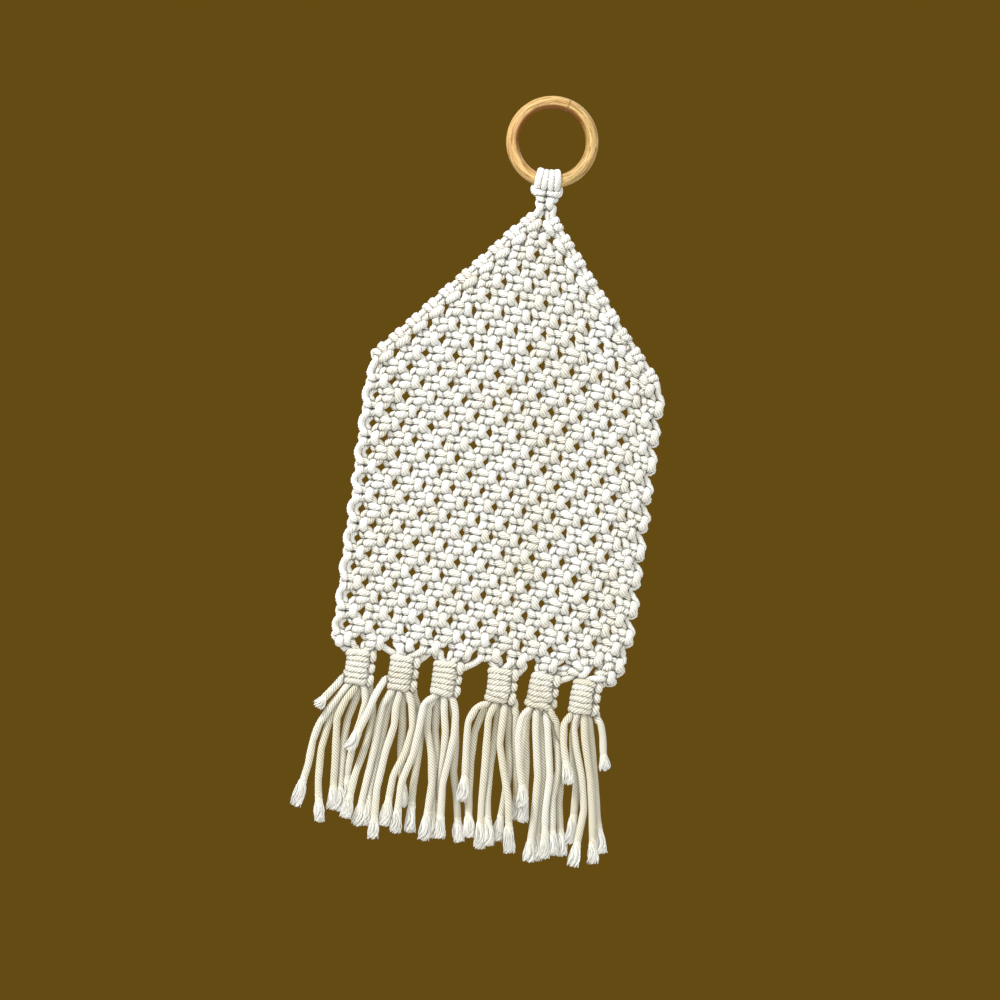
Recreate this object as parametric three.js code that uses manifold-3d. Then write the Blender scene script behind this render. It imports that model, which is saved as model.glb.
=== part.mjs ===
// A knotted cord wall hanging on a wooden ring: two cords hitched on the ring, a crown knot,
// a five-sided net of square knots, and six gathers that end in tassels.
// Millimetres, +Z up, the face looks along -Y. The origin is where a hook carries the ring.
import * as THREE from 'three';
import { mergeGeometries, mergeVertices } from 'three/addons/utils/BufferGeometryUtils.js';
import Module from 'manifold-3d';

const wasm = await Module();
wasm.setup();

// ---- driving dimensions ----
const cord = 5;                 // diameter of the cotton cord
const gap = 0.3;                // clearance between neighbouring pieces

const ringOuter = 70;           // outer diameter of the ring
const ringTube = 9.5;           // diameter of its round section
const ringCentreZ = ringTube - ringOuter / 2;
const ringMid = (ringOuter - ringTube) / 2;

const hitchWidth = 10;          // two cords side by side
const hitchGap = 0.5;           // between the two hitches
const hitchBottom = -68;
const sleeveSides = 12;

const crownX = 1.5;             // the crown knot hangs a little right of the hook
const crownWidth = 17;
const crownDepth = 12;
const crownTop = hitchBottom - gap;
const crownBottom = -80.5;

const firstRow = -88.4;         // height of row 0, the gap under the crown knot
const slopeStep = 12.05;        // row step between the sloping edges
const slopeRows = 9;
const straightStep = 11.12;     // row step below the shoulders
const lastRow = 29;
const netX = -7.2;              // middle of the net, column 0
const columnStep = 11.15;       // half the distance between two knots of a row
const netDepth = 12.5;
const holeWidth = 3.4;
const holeHeight = 6.2;
const holeRim = 3;              // least width of net kept between a hole and the edge

const edgeRadius = 5.6;         // a hitch on the sloping edge cord
const edgeWaist = 4.5;          // between two hitches
const edges = [
  { name: 'edge_cord_left', start: [-2.6, -82.4], end: [-107.9, -202.6], hitches: 10 },
  { name: 'edge_cord_right', start: [5.6, -82.5], end: [95, -194.5], hitches: 9 },
];

const gatherWidth = 23.4;
const gatherDepth = 15;
const gatherTop = -428;
const gatherBottom = -452;
const gatherHitches = 3;
const gatherX = [-94, -60.4, -27.2, 15.1, 46.9, 79.1];

const collarHeight = 5;         // bound root of a tassel, just under its gather
const strandRadius = 2.7;       // to the corners of a five-sided section

// Hanging cords of each tassel, from its root to the tip, each point [x, depth, z].
const tassels = [
  [
    [[-102, -3, -455], [-112, -6, -460], [-120, -5, -474]],
    [[-101, -3, -456], [-110, -3, -471], [-118, -2, -487], [-121, -1, -500], [-122, -1, -518], [-128, 0, -551]],
    [[-98, 2, -456], [-104, 2, -469], [-111, 1, -485], [-114, 0, -505], [-113, -1, -530], [-108, -2, -561]],
    [[-94, -4, -456], [-100, -4, -465], [-105, -4, -480], [-102, -2, -515], [-100, 0, -550]],
    [[-91, 3, -456], [-93, 3, -465], [-97, 2, -480], [-98, 1, -500], [-96, 1, -525], [-95, 2, -551]],
    [[-87, -4, -456], [-85, -4, -466], [-87, -3, -480], [-90, -2, -495], [-92, 1, -520], [-89, 3, -543]],
    [[-84, 3, -455], [-80, 4, -465], [-78, 4, -480], [-81, 2, -500], [-86, -2, -522], [-89, -5, -555]],
  ],
  [
    [[-67, -5, -455], [-76, -9.5, -459], [-81, -10.5, -472], [-85, -10.5, -485], [-92, -9, -504]],
    [[-67, -3, -456], [-72, -3, -466], [-73, -3, -480], [-74, -2, -500], [-77, -1, -530], [-80, 0, -560]],
    [[-64, 3, -456], [-68, 3, -472], [-70, 2, -500], [-73, 1, -530], [-73, 1, -559]],
    [[-60, -4, -456], [-62, -4, -466], [-61, -4, -480], [-65, -4, -500], [-68, -3, -530], [-66, -3, -568]],
    [[-57, 3, -456], [-57, 3, -466], [-55, 3, -480], [-54, 3, -500], [-50, 3, -520], [-46, 3, -542]],
    [[-53, -4, -456], [-50, -4, -463], [-47, -4, -480], [-50, -4, -500], [-57, -5, -518], [-59, -4, -557]],
    [[-50, 3, -455], [-45, 4, -465], [-41, 4, -480], [-40, 3, -500], [-41, 2, -525], [-39, 1, -560]],
  ],
  [
    [[-34, -5, -455], [-41, -9, -460], [-42, -9.5, -480], [-44, -9.5, -500], [-50, -8, -522], [-50, -5, -561]],
    [[-34, -3, -456], [-37, -3, -463], [-36, -3, -480], [-30, -4, -500], [-27, -4, -520], [-28, -3, -564]],
    [[-30, 3, -456], [-31, 3, -465], [-30, 3, -480], [-26, 2, -500], [-24, 1, -525], [-23, 1, -562]],
    [[-26, -4, -456], [-25, -4, -465], [-22, -4, -480], [-21, -3, -500], [-21, 1, -525], [-18, 3, -555]],
    [[-19, -5, -456], [-16, -5, -465], [-15, -5, -482], [-17, -5, -500], [-19, -4, -520], [-16, -3, -561]],
    [[-21, 3, -456], [-16, 3, -470], [-13, 3, -490], [-12, 3, -510], [-7, 4, -530], [-1, 6, -563]],
  ],
  [
    [[7, -3, -455], [-1, -5, -458], [-6, -5, -470], [-5, -4, -487], [-3, -4, -510], [-3, -4, -531]],
    [[9, 3, -456], [4, 3, -463], [0, 2, -478], [0, 1, -500], [2, 0, -528], [6, -1, -558]],
    [[12, -4, -456], [9, -4, -465], [11, -4, -500], [12, -3, -525], [15, -3, -565]],
    [[16, 3, -456], [16, 3, -466], [16, 2, -482], [15, 1, -500], [16, -2, -528], [22, -4, -562]],
    [[20, -4, -456], [20, -4, -466], [20, -4, -484], [26, -5, -505], [32, -5, -524], [38, -4, -565]],
    [[24, 3, -456], [25, 3, -466], [27, 3, -482], [30, 2, -500], [29, 2, -525], [27, 2, -558]],
    [[27, -3, -455], [30, 0, -461], [31, 2, -475], [32, 3, -490], [37, 3, -513], [40, 3, -540]],
  ],
  [
    [[39, -4, -455], [34, -8, -460], [33, -9.5, -475], [37, -9.5, -498], [41, -9, -513], [43, -9, -529]],
    [[40, 3, -456], [38, 3, -463], [39, 2, -478], [42, 0, -498], [44, -3, -520], [45, -4, -541]],
    [[44, -3, -456], [46, -4, -472], [52, -4, -505], [53, -3, -535], [53, -2, -570]],
    [[48, 3, -456], [50, 2, -466], [53, 1, -482], [57, 1, -505], [58, 2, -530], [59, 2, -569]],
    [[52, -4, -456], [55, -4, -470], [61, -4, -503], [61, -4, -530], [65, -4, -566]],
    [[56, 3, -456], [59, 3, -463], [64, 2, -478], [67, 0, -498], [65, -1, -520], [71, -1, -563]],
    [[54, -4, -455], [61, -3, -462], [66, 2, -476], [69, 4, -500], [71, 4, -525], [78, 3, -563]],
  ],
  [
    [[72, -5, -455], [66, -8.5, -461], [68, -9.5, -478], [72, -9.5, -492], [76, -9, -507]],
    [[74, -3, -456], [74, -4, -465], [78, -4, -480], [85, -4, -500], [90, -3, -525], [87, -3, -569]],
    [[77, 3, -456], [74, 3, -468], [77, 3, -488], [82, 3, -508], [83, 3, -530], [83, 4, -553]],
    [[81, -4, -456], [83, -4, -470], [92, -4, -503], [97, -3, -530], [102, -2, -565]],
    [[85, 3, -456], [87, 3, -465], [91, 3, -482], [96, 3, -505], [101, 2, -530], [108, 1, -557]],
    [[89, -3, -455], [94, -2, -458], [97, 0, -468], [99, 0, -481], [102, 0, -494]],
  ],
];

// ---- materials ----
const wood = new THREE.MeshStandardMaterial({ color: 0xdcb183, roughness: 0.5 });
const cotton = new THREE.MeshStandardMaterial({ color: 0xf1ede0, roughness: 0.95 });

const hanging = new THREE.Group();

function addMesh(name, geometry, material) {
  const mesh = new THREE.Mesh(geometry, material);
  mesh.name = name;
  hanging.add(mesh);
}

// ---- joining and cutting ----
function toSolid(geometry) {
  geometry.deleteAttribute('normal');
  geometry.deleteAttribute('uv');
  const merged = mergeVertices(geometry, 1e-4);
  return new wasm.Manifold(new wasm.Mesh({
    numProp: 3,
    vertProperties: new Float32Array(merged.attributes.position.array),
    triVerts: new Uint32Array(merged.index.array),
  }));
}

function toGeometry(solid) {
  const mesh = solid.getMesh();
  const geometry = new THREE.BufferGeometry();
  geometry.setAttribute('position', new THREE.BufferAttribute(mesh.vertProperties, 3));
  geometry.setIndex(new THREE.BufferAttribute(mesh.triVerts, 1));
  geometry.computeVertexNormals();
  return geometry;
}

// ---- net layout: rows go down, columns go right, a hole lies where row + column is odd ----
function rowZ(row) {
  const sloping = Math.min(row, slopeRows);
  return firstRow - slopeStep * sloping - straightStep * (row - sloping);
}

function columnX(column, row) {
  const spread = THREE.MathUtils.clamp((row - 4) / 4, 0, 1);
  const middle = THREE.MathUtils.lerp(-11.3, netX, spread);
  const step = THREE.MathUtils.lerp(10.65, columnStep, spread);
  return middle + step * column;
}

// ---- wooden ring ----
function makeRing() {
  const section = [];
  const sides = 14;
  for (let i = 0; i <= sides; i += 1) {
    const angle = (i % sides) / sides * 2 * Math.PI;
    section.push(new THREE.Vector2(
      ringMid + ringTube / 2 * Math.cos(angle),
      ringTube / 2 * Math.sin(angle),
    ));
  }
  const geometry = new THREE.LatheGeometry(section, 40);
  geometry.translate(0, 0, ringCentreZ);
  addMesh('ring', geometry, wood);
}

// ---- the two hitches: a sleeve of cord around the lowest part of the ring, and its tails ----
// The middle of the ring's section, from one distance along the ring to another.
class RingArc extends THREE.Curve {
  constructor(from, to) {
    super();
    this.from = from;
    this.to = to;
  }

  getPoint(t, target = new THREE.Vector3()) {
    const angle = THREE.MathUtils.lerp(this.from, this.to, t) / ringMid;
    return target.set(ringMid * Math.sin(angle), 0, ringCentreZ - ringMid * Math.cos(angle));
  }
}

function makeHitch(name, side) {
  const inner = (ringTube / 2 + gap) / Math.cos(Math.PI / sleeveSides);
  const outer = inner + cord;
  const from = side * hitchGap / 2;
  const to = side * (hitchGap / 2 + hitchWidth);
  const sleeve = new THREE.Shape().absarc(0, 0, outer, 0, 2 * Math.PI);
  sleeve.holes.push(new THREE.Path().absarc(0, 0, inner, 0, 2 * Math.PI, true));
  const around = new THREE.ExtrudeGeometry(sleeve, {
    steps: 2,
    curveSegments: sleeveSides / 2,
    extrudePath: new RingArc(from, to),
  });
  const tailTop = ringCentreZ - ringMid - inner - 1;
  const tailHeight = tailTop - hitchBottom;
  const tails = new THREE.BoxGeometry(hitchWidth - 2.4, 2 * cord - 1, tailHeight);
  tails.translate((from + to) / 2, 0, hitchBottom + tailHeight / 2);
  addMesh(name, toGeometry(toSolid(around).add(toSolid(tails))), cotton);
}

// ---- crown knot: one square knot that joins the four tails ----
function makeCrown() {
  const round = 1.5;
  const halfWidth = crownWidth / 2 - round;
  const top = crownTop - round;
  const bottom = crownBottom + round;
  const waist = (top + bottom) / 2;
  const outline = new THREE.Shape([
    new THREE.Vector2(-halfWidth + 2, top),
    new THREE.Vector2(-halfWidth, (top + waist) / 2),
    new THREE.Vector2(-halfWidth + 1, waist),
    new THREE.Vector2(-halfWidth, (bottom + waist) / 2),
    new THREE.Vector2(-halfWidth + 2, bottom),
    new THREE.Vector2(halfWidth - 2, bottom),
    new THREE.Vector2(halfWidth, waist - 2),
    new THREE.Vector2(halfWidth, waist + 2),
    new THREE.Vector2(halfWidth - 2, top),
  ]);
  const geometry = new THREE.ExtrudeGeometry(outline, {
    depth: crownDepth - 2 * round,
    bevelThickness: round,
    bevelSize: round,
    bevelSegments: 1,
  });
  geometry.translate(0, 0, round - crownDepth / 2);
  geometry.rotateX(Math.PI / 2);
  geometry.translate(crownX, 0, 0);
  addMesh('crown_knot', geometry, cotton);
}

// ---- sloping edges: a cord with a row of hitches on it, like beads ----
function makeEdge({ name, start, end, hitches }) {
  const from = new THREE.Vector3(start[0], 0, start[1]);
  const along = new THREE.Vector3(end[0], 0, end[1]).sub(from);
  const length = along.length();
  const step = length / hitches;
  const profile = [new THREE.Vector2(0, 0)];
  for (let i = 0; i < hitches; i += 1) {
    profile.push(new THREE.Vector2(edgeWaist, i * step));
    profile.push(new THREE.Vector2(edgeRadius, (i + 0.5) * step));
  }
  profile.push(new THREE.Vector2(edgeWaist, length), new THREE.Vector2(0, length));
  const geometry = new THREE.LatheGeometry(profile, 8);
  const turn = new THREE.Quaternion().setFromUnitVectors(
    new THREE.Vector3(0, 1, 0),
    along.clone().normalize(),
  );
  geometry.applyQuaternion(turn);
  geometry.translate(from.x, from.y, from.z);
  addMesh(name, geometry, cotton);
}

// ---- the net ----
// Points of the line that clears one edge cord, from the crown to past its far end.
function besideEdge({ start, end }) {
  const from = new THREE.Vector2(...start);
  const to = new THREE.Vector2(...end);
  const along = to.clone().sub(from).normalize();
  const inward = new THREE.Vector2(along.y, -along.x).multiplyScalar(start[0] < 0 ? -1 : 1);
  const clear = edgeRadius + gap;
  const past = to.clone().addScaledVector(along, gap);
  return {
    top: from.clone().addScaledVector(inward, clear).addScaledVector(along, 3.5),
    low: past.clone().addScaledVector(inward, clear),
    corner: past.clone().addScaledVector(inward, -clear + 1.5),
  };
}

// The straight sides, row by row: a knot on an odd row stands out past the cords of an even row.
const leftSide = { odd: -118.8, even: -117.6 };
const rightSide = { odd: 110.5, even: 107.2, belly: 2.6 };

function netOutline() {
  const left = besideEdge(edges[0]);
  const right = besideEdge(edges[1]);
  const points = [left.corner, left.low, left.top];
  points.push(new THREE.Vector2(crownX, firstRow - 6.6), right.top, right.low, right.corner);
  for (let row = slopeRows + 1; row <= lastRow; row += 1) {
    const down = (row - slopeRows) / (lastRow - slopeRows);
    const belly = rightSide.belly * Math.sin(Math.PI * Math.min(1, down * 1.1));
    const taper = -7 * Math.max(0, (down - 0.75) / 0.25);
    const side = row % 2 ? rightSide.odd : rightSide.even;
    points.push(new THREE.Vector2(side + belly + taper, rowZ(row)));
  }
  const neck = gatherWidth / 2 - 1.5;
  [...gatherX].reverse().forEach((x, i) => {
    const middle = i === gatherX.length / 2;
    if (i > 0) {
      const between = (x + gatherX[gatherX.length - i]) / 2;
      points.push(new THREE.Vector2(between, rowZ(lastRow) + (middle ? 3 : -4.5)));
    }
    points.push(new THREE.Vector2(x + neck, gatherTop + gap));
    points.push(new THREE.Vector2(x - neck, gatherTop + gap));
  });
  for (let row = lastRow; row > slopeRows + 1; row -= 1) {
    const taper = row === lastRow ? 3 : 0;
    points.push(new THREE.Vector2((row % 2 ? leftSide.odd : leftSide.even) + taper, rowZ(row)));
  }
  return points;
}

function distanceToOutline(x, z, outline) {
  let nearest = Infinity;
  outline.forEach((a, i) => {
    const b = outline[(i + 1) % outline.length];
    const line = new THREE.Line3(new THREE.Vector3(a.x, a.y, 0), new THREE.Vector3(b.x, b.y, 0));
    const point = new THREE.Vector3(x, z, 0);
    const foot = line.closestPointToPoint(point, true, new THREE.Vector3());
    nearest = Math.min(nearest, foot.distanceTo(point));
  });
  return nearest;
}

function makeNet() {
  const outline = netOutline();
  const sheet = new THREE.ExtrudeGeometry(new THREE.Shape(outline), {
    depth: netDepth,
    bevelEnabled: false,
  });
  sheet.translate(0, 0, -netDepth / 2);
  sheet.rotateX(Math.PI / 2);
  const cutters = [];
  for (let row = 1; row <= lastRow; row += 1) {
    const first = -Math.min(row - 1, 9);
    const last = Math.min(row + 1, 9);
    for (let column = first; column <= last; column += 1) {
      const x = columnX(column, row);
      const z = rowZ(row);
      const isHole = Math.abs(row + column) % 2 === 1;
      if (isHole && distanceToOutline(x, z, outline) > holeHeight / 2 + holeRim) {
        const cutter = new THREE.CylinderGeometry(holeWidth / 2, holeWidth / 2, 2 * netDepth, 4);
        cutter.scale(1, 1, holeHeight / holeWidth);
        cutter.translate(x, 0, z);
        cutters.push(cutter);
      }
    }
  }
  const net = toSolid(sheet).subtract(toSolid(mergeGeometries(cutters)));
  addMesh('net_panel', toGeometry(net), cotton);
}

// ---- gathers: three hitches one under another around a bundle of cords ----
function makeGather(index) {
  const height = gatherTop - gatherBottom;
  const step = height / gatherHitches;
  const radius = gatherWidth / 2;
  const profile = [new THREE.Vector2(0, 0), new THREE.Vector2(radius - 1.6, 0)];
  for (let i = 0; i < gatherHitches; i += 1) {
    profile.push(new THREE.Vector2(radius, (i + 0.5) * step));
    profile.push(new THREE.Vector2(radius - 1.6, (i + 1) * step));
  }
  profile.push(new THREE.Vector2(0, height));
  const geometry = new THREE.LatheGeometry(profile, 10);
  geometry.scale(1, 1, gatherDepth / gatherWidth);
  geometry.rotateX(Math.PI / 2);
  geometry.translate(gatherX[index], 0, gatherBottom);
  addMesh(`gather_${index + 1}`, geometry, cotton);
}

// ---- tassels: hanging cords that part below a bound root ----
function makeStrand(points) {
  const route = new THREE.CatmullRomCurve3(points.map((p) => new THREE.Vector3(...p)));
  const section = new THREE.Shape();
  const sides = 5;
  for (let i = 0; i < sides; i += 1) {
    const angle = i / sides * 2 * Math.PI;
    const corner = [strandRadius * Math.cos(angle), strandRadius * Math.sin(angle)];
    if (i === 0) section.moveTo(...corner);
    else section.lineTo(...corner);
  }
  section.closePath();
  return new THREE.ExtrudeGeometry(section, { steps: points.length - 1, extrudePath: route });
}

function makeTassel(index) {
  const top = gatherBottom - gap;
  const root = new THREE.CylinderGeometry(gatherWidth / 2 - 2, gatherWidth / 2 - 1, collarHeight, 8);
  root.scale(1, 1, 0.6);
  root.rotateX(Math.PI / 2);
  root.translate(gatherX[index], 0, top - collarHeight / 2);
  let solid = toSolid(root);
  tassels[index].forEach((points) => {
    solid = solid.add(toSolid(makeStrand(points)));
  });
  addMesh(`tassel_${index + 1}`, toGeometry(solid), cotton);
}

makeRing();
makeHitch('ring_hitch_left', -1);
makeHitch('ring_hitch_right', 1);
makeCrown();
edges.forEach(makeEdge);
makeNet();
gatherX.forEach((x, index) => makeGather(index));
tassels.forEach((strands, index) => makeTassel(index));

export default hanging;
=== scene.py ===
# Knotted cotton wall hanging on a wooden ring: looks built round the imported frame, in metres, face to -Y.
from math import pi, radians

import bpy
import numpy as np
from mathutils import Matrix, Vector


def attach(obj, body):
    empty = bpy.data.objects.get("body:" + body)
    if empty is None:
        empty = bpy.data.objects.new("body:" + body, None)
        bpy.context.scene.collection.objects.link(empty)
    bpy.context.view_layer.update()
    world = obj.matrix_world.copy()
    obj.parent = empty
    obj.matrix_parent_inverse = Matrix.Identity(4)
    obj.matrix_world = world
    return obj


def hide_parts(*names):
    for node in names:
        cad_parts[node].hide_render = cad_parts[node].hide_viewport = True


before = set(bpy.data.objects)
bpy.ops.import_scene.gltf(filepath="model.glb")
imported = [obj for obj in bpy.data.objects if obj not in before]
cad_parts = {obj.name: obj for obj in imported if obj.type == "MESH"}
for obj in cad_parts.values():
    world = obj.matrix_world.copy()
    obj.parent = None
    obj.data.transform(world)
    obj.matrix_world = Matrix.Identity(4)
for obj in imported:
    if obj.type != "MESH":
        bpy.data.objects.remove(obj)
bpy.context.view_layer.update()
print("frame loaded:", len(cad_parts), "nodes")


def addObject(name, data):
    made = bpy.data.objects.new(name, data)
    bpy.context.scene.collection.objects.link(made)
    return made


# ---- camera ----
view = {"aim": (-0.0039, 0, -0.3004), "distance": 2.2, "width": 0.76, "roll": 7.5, "sensor": 36}


def makeCamera(settings):
    data = bpy.data.cameras.new("viewCamera")
    data.sensor_width = settings["sensor"]
    data.lens = settings["sensor"] * settings["distance"] / settings["width"]
    camera = addObject("viewCamera", data)
    aim = settings["aim"]
    camera.location = (aim[0], aim[1] - settings["distance"], aim[2])
    camera.rotation_euler = (radians(90), -radians(settings["roll"]), 0)
    bpy.context.scene.camera = camera


makeCamera(view)
print("camera ready")

# ---- the cord ----
cord = {
    "thickness": 0.005,
    "sides": 12,          # corners of a section, two to a ridge
    "ridge": 0.00030,     # half the height of a ridge
    "lay": 0.014,         # length of cord in which the ridges turn once
    "step": 0.0014,       # between two sections
    "thickThin": 0.03, "thickThinEvery": 7,    # share by which the radius wanders, within so many steps
    "bendThin": 0.45, "bendWide": 0.30, "bendMost": .6,    # flattening by the radius's share of the bend's
    "shownSquash": 0.45,  # share of the upright flattening that a section shows
    "borderThin": .9,     # at the hidden end of a run
}
thick = cord["thickness"]
seeds = {"knots": 11, "thickThin": 100, "tone": 300, "fray": 1000}
rng = np.random.default_rng(seeds["knots"])

# Parts of the cords, in the order of their numbers; ring and slope have a left and a right one.
panelBands, gatherCount, gatherStrands = 5, 6, 7
partRing, partCrown, partSlope, partPanel = 0, 2, 3, 5
partGather = partPanel + panelBands
partHang = partGather + gatherCount
# Kinds of part are ring, crown, slope, panel, gather and hanging. For each: half the distance of touching
# cords in thicknesses, the shown radius, how far the knots' pull flattens a cord upright, and how much
# creamier it is.
kindStarts = [partCrown, partSlope, partPanel, partGather, partHang]
kindContact = np.array([.38, .36, .345, .405, .405, .46])
kindRadius = np.array([.00256, .00252, .00256, .00268, .00260, .00260])
kindSquash = np.array([1.0, 1.4, 1.12, 1.42, 1.0, 1.0])
kindTone = np.array([0, 0, 0, 0, .33, .54])
panelRadius, hangRadius = kindRadius[3], kindRadius[5]


def kindOf(part):
    return np.searchsorted(kindStarts, part, side="right")


# ---- lattice of the net: column and row of a knot give its middle ----
net = {
    "lastRow": 29, "shoulderRow": 9,
    "opens": (4, 8),     # the columns move between these rows
    "middle": (-0.0113, -0.0072), "column": (0.01065, 0.01115),
    "firstZ": -0.0884, "slopeStep": 0.01205, "straightStep": 0.01112,
    "sagRows": (0, 9, 29), "sag": (1.2e-4, 7.5e-5, 3e-5), "tilt": 8e-5,
    "liftRows": (0, 9, 18, 29), "lift": (0.0005, 0.0016, 0.0016, 0.0006),
    "lastColumn": 10, "endWidth": .85, "endShift": (-.0016, -.0012),    # its knots are narrower, further in
    "lowRow": 28, "lowShift": (-.0042, -.0008),    # and the lowest of them even further
}


def netPoint(column, row):
    # x: middle + column * spacing; z: rows stepped down, less a sag that grows as column squared
    middle = np.interp(row, net["opens"], net["middle"])
    spacing = np.interp(row, net["opens"], net["column"])
    shoulder = net["shoulderRow"]
    drop = net["slopeStep"] * min(row, shoulder) + net["straightStep"] * max(row - shoulder, 0)
    sag = np.interp(row, net["sagRows"], net["sag"]) * column ** 2 + net["tilt"] * column
    lift = np.interp(row, net["liftRows"], net["lift"])
    end = column == net["lastColumn"]
    shift = np.array(net["endShift"]) * end + np.array(net["lowShift"]) * (end and row >= net["lowRow"])
    return np.array([middle + spacing * column, net["firstZ"] - drop + lift - sag]) + shift


def knotColumns(row):
    # every second column, one more in each row down to the shoulder, then nine and ten in turn
    if row < net["shoulderRow"]:
        return range(-(row - 2), row + 1, 2)
    if row == net["shoulderRow"]:
        return range(-7, 10, 2)
    return range(-9, 10, 2) if row % 2 else range(-8, 11, 2)


knots = {(column, row) for row in range(1, net["lastRow"] + 1) for column in knotColumns(row)}


# ---- routes of a cord through the knots, as (right, up, towards the viewer) in cord thicknesses ----
def frontWorker(halfWidth, halfDepth, bars):
    # crosses in front of the core from side to side at each bar, and dips behind its partner at both ends
    a, b, route = halfWidth, halfDepth, []
    for index, w in enumerate(bars):
        s = 1 if index % 2 == 0 else -1
        route += [(s * (a + .55), w - .20, .15), (s * (a + .1), w - .14, b + .35),
                  (s * .5 * a, w - .06, b + .5), (-s * .5 * a, w + .06, b + .5),
                  (-s * (a + .1), w + .14, b + .32), (-s * (a + .55), w + .16, .1)]
        if index + 1 < len(bars):
            route += [(-s * (a + 1.0), (w + bars[index + 1]) / 2, -.05)]
    return route


def backWorker(halfWidth, halfDepth, bars):
    # crosses behind the core at each bar, and comes to the front over the ends of the front bars
    a, b, route = halfWidth, halfDepth, []
    for index, w in enumerate(bars):
        s = 1 if index % 2 == 0 else -1
        route += [(-s * (a + .6), w + .22, b + .75), (-s * (a + .45), w - .28, .2),
                  (-s * (a - .1), w - .26, -(b + .3)), (-s * .4 * a, w - .1, -(b + .5)),
                  (s * .4 * a, w + .1, -(b + .5)), (s * (a - .1), w + .3, -(b + .3)),
                  (s * (a + .25), w + .45, .1), (s * (a + .55), w + .15, b + .7)]
        if index + 1 < len(bars):
            route += [(s * (a + .7), (w + bars[index + 1]) / 2, b + .95)]
    return route


squareKnot = {
    1: [(-1.75, 1.2, .3)] + backWorker(.9, .45, (.5, -.5)) + [(-1.75, -1.25, .1)],
    2: [(-.45, 1.2, 0), (-.45, .9, 0), (-.45, 0, 0), (-.45, -.9, 0), (-.45, -1.2, 0)],
    3: [(.45, 1.2, 0), (.45, .9, 0), (.45, 0, 0), (.45, -.9, 0), (.45, -1.2, 0)],
    4: [(1.8, 1.25, 0)] + frontWorker(.9, .45, (.5, -.5)) + [(1.73, -1.2, 0)],
}

# where a cord that misses a row at an edge runs, from the middle between the edge knots there
besideEdge = {1: [(-1.62, .8, 0), (-1.74, 0, .1), (-1.62, -.8, 0)], 2: [(-1.0, .3, -.3), (-1.0, -.3, -.3)],
              3: [(1.35, .3, -.8), (1.35, -.3, -.8)], 4: [(1.9, .4, -.3), (1.9, -.4, -.3)]}
crownKnot = {
    1: [(-1.0, 1.3, .3)] + backWorker(.62, .4, (.5, -.5)) + [(-1.35, -1.3, .1)],
    2: [(-.3, 1.3, 0), (-.34, .9, 0), (-.34, 0, 0), (-.34, -.9, 0), (-.4, -1.3, 0)],
    3: [(.3, 1.3, 0), (.34, .9, 0), (.34, 0, 0), (.34, -.9, 0), (.4, -1.3, 0)],
    4: [(1.0, 1.3, 0)] + frontWorker(.62, .4, (.5, -.5)) + [(1.35, -1.3, 0)],
}
nextSlot = {1: (-1, 3), 2: (-1, 4), 3: (1, 1), 4: (1, 2)}    # column step and slot in the row below


def slopeHitch(side):
    # half of a folded cord on the two holding cords: bar in front on the net side, its end back and behind,
    # over the outside, down in front and through under the bar
    s = side
    return [(0, -.86, 1.25), (s * .5, -.85, 1.12), (s * .86, -.82, .4), (s * .84, -.6, -.5),
            (s * .75, 0, -.8), (s * .66, .7, -.6), (s * .56, .95, 0), (s * .53, .75, .58),
            (s * .5, .2, .8), (s * .42, -.4, .7), (s * .33, -.86, .1), (s * .36, -1.35, -.15)]


def ringHitch(side, reach):
    # the same hitch on the ring's tube: bar in front under the tube
    s, r = side, reach
    return [(0, -r - .55, .85), (s * .35, -r - .52, .76), (s * .62, -r - .38, .35), (s * .68, -r - .1, -.35),
            (s * .64, -r * .75, -r * .85), (s * .6, 0, -r), (s * .56, r * .7, -r * .75), (s * .52, r, 0),
            (s * .5, r * .8, r * .6), (s * .48, r * .2, r), (s * .46, -r * .5, r * .9),
            (s * .42, -r * .95, r * .45), (s * .34, -r - .5, .1), (s * .34, -r - 1.0, 0)]


def place(centre, shape, right=(1, 0), up=(0, 1)):
    # from cord thicknesses round a middle (x, z) to metres
    q = np.asarray(shape, float) * thick
    return np.stack([centre[0] + q[:, 0] * right[0] + q[:, 1] * up[0], -q[:, 2],
                     centre[1] + q[:, 0] * right[1] + q[:, 1] * up[1]], -1)


pins = {}     # name of a knot or hitch: (number, place)


def pinFor(name, centre):
    return pins.setdefault(name, (len(pins), (centre[0], 0, centre[1])))[0]


def lay(route, points, part, pin=-1, held=0):
    # points held at 1 keep near where they are laid across the front, those held at 2 in depth as well
    points = np.atleast_2d(np.asarray(points, float))
    route["points"].append(points)
    route["pin"] += [pin] * len(points)
    route["part"] += [part] * len(points)
    route["held"] += list(np.broadcast_to(held, len(points)))


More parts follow.
